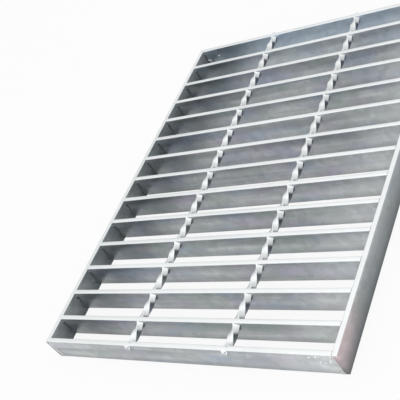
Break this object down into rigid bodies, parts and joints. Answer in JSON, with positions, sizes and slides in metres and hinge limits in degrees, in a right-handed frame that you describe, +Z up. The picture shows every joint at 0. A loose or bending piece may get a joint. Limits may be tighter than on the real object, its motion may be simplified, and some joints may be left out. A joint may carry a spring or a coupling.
{
  "type": "drain grate",
  "caption": "Flat welded steel bar grating with upright bearing bars, twisted cross rods and flat end bands, laid over a drain.",
  "frame": {"origin": "centre of the bounding box at the underside of the bars", "axes": "+X runs along the bearing bars to the right end band, +Y runs along the twisted rods to the back, +Z is up out of the walking surface"},
  "size_m": [0.315, 0.425, 0.025],
  "materials": {
    "bar_panel": "hot-dip galvanised, dull grey",
    "end_bands": "hot-dip galvanised, dull grey"
  },
  "bodies": {
    "root": {"bar_panel": "bar_panel", "left_end_band": "end_bands", "right_end_band": "end_bands"}
  },
  "joints": []
}
